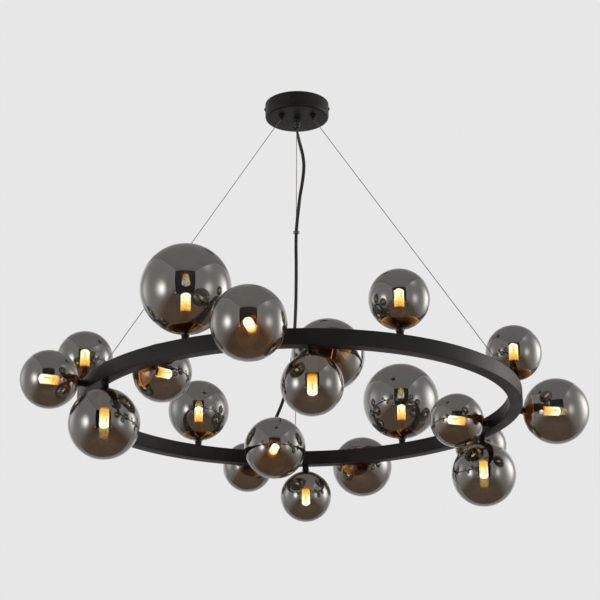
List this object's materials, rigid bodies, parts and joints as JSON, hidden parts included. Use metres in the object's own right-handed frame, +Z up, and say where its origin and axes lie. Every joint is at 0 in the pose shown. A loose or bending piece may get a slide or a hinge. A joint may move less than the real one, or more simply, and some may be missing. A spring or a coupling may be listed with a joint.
{
  "type": "ring chandelier",
  "caption": "Black ring on steel cables with smoked glass globes pointing up, down, inwards and outwards, each round a brass cup and a capsule bulb.",
  "frame": {"origin": "middle of the canopy's rim, against the ceiling", "axes": "+Z up to the ceiling, +X to the right and +Y to the back as in the picture"},
  "size_m": [0.9974, 1.0318, 0.7392],
  "materials": {
    "black_coat": "matt black powder coat",
    "zinc_steel": "zinc-plated steel",
    "steel_cable": "twisted steel wire",
    "black_plastic": "black plastic",
    "clear_plastic": "clear plastic",
    "terminal_plastic": "ivory plastic",
    "wire_plastic": "plastic insulation",
    "brass": "spun and turned, satin",
    "ceramic": "ceramic, stood in for by plastic",
    "smoked_glass": "smoked and lightly mirrored",
    "bulb_envelope": "frosted, lit warm white"
  },
  "bodies": {
    "fixture": {"ceiling_bracket": "zinc_steel", "canopy": "black_coat", "canopy_screws": "black_coat", "terminal_block": "terminal_plastic", "cord_grip": "black_plastic", "cable_outlets": "black_coat", "cable_grippers": "zinc_steel", "suspension_cable_rear": "steel_cable", "suspension_cable_left": "steel_cable", "suspension_cable_right": "steel_cable", "power_cord": "black_plastic", "cord_clip": "clear_plastic", "cord_grommet": "black_plastic", "ring_tube": "black_coat", "cable_anchors": "black_coat", "ring_wiring": "wire_plastic", "stems": "black_coat", "lock_nuts": "zinc_steel", "lamp_cups": "brass", "lampholders": "ceramic"},
    "globe_01": {"globe_01": "smoked_glass"},
    "bulb_01": {"bulb_01": "bulb_envelope"},
    "globe_02": {"globe_02": "smoked_glass"},
    "bulb_02": {"bulb_02": "bulb_envelope"},
    "globe_03": {"globe_03": "smoked_glass"},
    "bulb_03": {"bulb_03": "bulb_envelope"},
    "globe_04": {"globe_04": "smoked_glass"},
    "bulb_04": {"bulb_04": "bulb_envelope"},
    "globe_05": {"globe_05": "smoked_glass"},
    "bulb_05": {"bulb_05": "bulb_envelope"},
    "globe_06": {"globe_06": "smoked_glass"},
    "bulb_06": {"bulb_06": "bulb_envelope"},
    "globe_07": {"globe_07": "smoked_glass"},
    "bulb_07": {"bulb_07": "bulb_envelope"},
    "globe_08": {"globe_08": "smoked_glass"},
    "bulb_08": {"bulb_08": "bulb_envelope"},
    "globe_09": {"globe_09": "smoked_glass"},
    "bulb_09": {"bulb_09": "bulb_envelope"},
    "globe_10": {"globe_10": "smoked_glass"},
    "bulb_10": {"bulb_10": "bulb_envelope"},
    "globe_11": {"globe_11": "smoked_glass"},
    "bulb_11": {"bulb_11": "bulb_envelope"},
    "globe_12": {"globe_12": "smoked_glass"},
    "bulb_12": {"bulb_12": "bulb_envelope"},
    "globe_13": {"globe_13": "smoked_glass"},
    "bulb_13": {"bulb_13": "bulb_envelope"},
    "globe_14": {"globe_14": "smoked_glass"},
    "bulb_14": {"bulb_14": "bulb_envelope"},
    "globe_15": {"globe_15": "smoked_glass"},
    "bulb_15": {"bulb_15": "bulb_envelope"},
    "globe_16": {"globe_16": "smoked_glass"},
    "bulb_16": {"bulb_16": "bulb_envelope"},
    "globe_17": {"globe_17": "smoked_glass"},
    "bulb_17": {"bulb_17": "bulb_envelope"},
    "globe_18": {"globe_18": "smoked_glass"},
    "bulb_18": {"bulb_18": "bulb_envelope"},
    "globe_19": {"globe_19": "smoked_glass"},
    "bulb_19": {"bulb_19": "bulb_envelope"},
    "globe_20": {"globe_20": "smoked_glass"},
    "bulb_20": {"bulb_20": "bulb_envelope"}
  },
  "joints": [
    {"name": "globe_01_turn", "type": "hinge", "parent": "fixture", "child": "globe_01", "pos_m": [0.40503, 0.04615, -0.593], "axis": [0.9936, 0.1132, 0], "continuous": true},
    {"name": "bulb_01_pull", "type": "slide", "parent": "fixture", "child": "bulb_01", "axis": [0.9936, 0.1132, 0], "range_m": [0, 0.018]},
    {"name": "globe_02_turn", "type": "hinge", "parent": "fixture", "child": "globe_02", "pos_m": [0.33607, 0.12565, -0.593], "axis": [-0.9367, -0.3502, 0], "continuous": true},
    {"name": "bulb_02_pull", "type": "slide", "parent": "fixture", "child": "bulb_02", "axis": [-0.9367, -0.3502, 0], "range_m": [0, 0.018]},
    {"name": "globe_03_turn", "type": "hinge", "parent": "fixture", "child": "globe_03", "pos_m": [0.34148, 0.17399, -0.61915], "axis": [0, 0, -1], "continuous": true},
    {"name": "bulb_03_pull", "type": "slide", "parent": "fixture", "child": "bulb_03", "axis": [0, 0, -1], "range_m": [0, 0.018]},
    {"name": "globe_04_turn", "type": "hinge", "parent": "fixture", "child": "globe_04", "pos_m": [0.31228, 0.26203, -0.593], "axis": [0.766, 0.6428, 0], "continuous": true},
    {"name": "bulb_04_pull", "type": "slide", "parent": "fixture", "child": "bulb_04", "axis": [0.766, 0.6428, 0], "range_m": [0, 0.018]},
    {"name": "globe_05_turn", "type": "hinge", "parent": "fixture", "child": "globe_05", "pos_m": [0.20025, 0.32677, -0.56685], "axis": [0, 0, 1], "continuous": true},
    {"name": "bulb_05_pull", "type": "slide", "parent": "fixture", "child": "bulb_05", "axis": [0, 0, 1], "range_m": [0, 0.018]},
    {"name": "globe_06_turn", "type": "hinge", "parent": "fixture", "child": "globe_06", "pos_m": [0.10894, 0.39282, -0.593], "axis": [0.2672, 0.9636, 0], "continuous": true},
    {"name": "bulb_06_pull", "type": "slide", "parent": "fixture", "child": "bulb_06", "axis": [0.2672, 0.9636, 0], "range_m": [0, 0.018]},
    {"name": "globe_07_turn", "type": "hinge", "parent": "fixture", "child": "globe_07", "pos_m": [0.01003, 0.38312, -0.61915], "axis": [0, 0, -1], "continuous": true},
    {"name": "bulb_07_pull", "type": "slide", "parent": "fixture", "child": "bulb_07", "axis": [0, 0, -1], "range_m": [0, 0.018]},
    {"name": "globe_08_turn", "type": "hinge", "parent": "fixture", "child": "globe_08", "pos_m": [-0.05922, 0.35387, -0.593], "axis": [0.165, -0.9863, 0], "continuous": true},
    {"name": "bulb_08_pull", "type": "slide", "parent": "fixture", "child": "bulb_08", "axis": [0.165, -0.9863, 0], "range_m": [0, 0.018]},
    {"name": "globe_09_turn", "type": "hinge", "parent": "fixture", "child": "globe_09", "pos_m": [-0.09516, 0.39639, -0.593], "axis": [-0.2334, 0.9724, 0], "continuous": true},
    {"name": "bulb_09_pull", "type": "slide", "parent": "fixture", "child": "bulb_09", "axis": [-0.2334, 0.9724, 0], "range_m": [0, 0.018]},
    {"name": "globe_10_turn", "type": "hinge", "parent": "fixture", "child": "globe_10", "pos_m": [-0.20025, 0.32677, -0.56685], "axis": [0, 0, 1], "continuous": true},
    {"name": "bulb_10_pull", "type": "slide", "parent": "fixture", "child": "bulb_10", "axis": [0, 0, 1], "range_m": [0, 0.018]},
    {"name": "globe_11_turn", "type": "hinge", "parent": "fixture", "child": "globe_11", "pos_m": [-0.38039, -0.04671, -0.56685], "axis": [0, 0, 1], "continuous": true},
    {"name": "bulb_11_pull", "type": "slide", "parent": "fixture", "child": "bulb_11", "axis": [0, 0, 1], "range_m": [0, 0.018]},
    {"name": "globe_12_turn", "type": "hinge", "parent": "fixture", "child": "globe_12", "pos_m": [-0.37662, -0.156, -0.593], "axis": [-0.9239, -0.3827, 0], "continuous": true},
    {"name": "bulb_12_pull", "type": "slide", "parent": "fixture", "child": "bulb_12", "axis": [-0.9239, -0.3827, 0], "range_m": [0, 0.018]},
    {"name": "globe_13_turn", "type": "hinge", "parent": "fixture", "child": "globe_13", "pos_m": [-0.32501, -0.20309, -0.61915], "axis": [0, 0, -1], "continuous": true},
    {"name": "bulb_13_pull", "type": "slide", "parent": "fixture", "child": "bulb_13", "axis": [0, 0, -1], "range_m": [0, 0.018]},
    {"name": "globe_14_turn", "type": "hinge", "parent": "fixture", "child": "globe_14", "pos_m": [-0.26664, -0.24008, -0.593], "axis": [0.7431, 0.6691, 0], "continuous": true},
    {"name": "bulb_14_pull", "type": "slide", "parent": "fixture", "child": "bulb_14", "axis": [0.7431, 0.6691, 0], "range_m": [0, 0.018]},
    {"name": "globe_15_turn", "type": "hinge", "parent": "fixture", "child": "globe_15", "pos_m": [-0.18287, -0.33681, -0.56685], "axis": [0, 0, 1], "continuous": true},
    {"name": "bulb_15_pull", "type": "slide", "parent": "fixture", "child": "bulb_15", "axis": [0, 0, 1], "range_m": [0, 0.018]},
    {"name": "globe_16_turn", "type": "hinge", "parent": "fixture", "child": "globe_16", "pos_m": [-0.06728, -0.40206, -0.593], "axis": [-0.165, -0.9863, 0], "continuous": true},
    {"name": "bulb_16_pull", "type": "slide", "parent": "fixture", "child": "bulb_16", "axis": [-0.165, -0.9863, 0], "range_m": [0, 0.018]},
    {"name": "globe_17_turn", "type": "hinge", "parent": "fixture", "child": "globe_17", "pos_m": [0.02006, -0.38272, -0.61915], "axis": [0, 0, -1], "continuous": true},
    {"name": "bulb_17_pull", "type": "slide", "parent": "fixture", "child": "bulb_17", "axis": [0, 0, -1], "range_m": [0, 0.018]},
    {"name": "globe_18_turn", "type": "hinge", "parent": "fixture", "child": "globe_18", "pos_m": [0.05613, -0.35438, -0.593], "axis": [-0.1564, 0.9877, 0], "continuous": true},
    {"name": "bulb_18_pull", "type": "slide", "parent": "fixture", "child": "bulb_18", "axis": [-0.1564, 0.9877, 0], "range_m": [0, 0.018]},
    {"name": "globe_19_turn", "type": "hinge", "parent": "fixture", "child": "globe_19", "pos_m": [0.16197, -0.34734, -0.56685], "axis": [0, 0, 1], "continuous": true},
    {"name": "bulb_19_pull", "type": "slide", "parent": "fixture", "child": "bulb_19", "axis": [0, 0, 1], "range_m": [0, 0.018]},
    {"name": "globe_20_turn", "type": "hinge", "parent": "fixture", "child": "globe_20", "pos_m": [0.37904, -0.05665, -0.56685], "axis": [0, 0, 1], "continuous": true},
    {"name": "bulb_20_pull", "type": "slide", "parent": "fixture", "child": "bulb_20", "axis": [0, 0, 1], "range_m": [0, 0.018]}
  ]
}
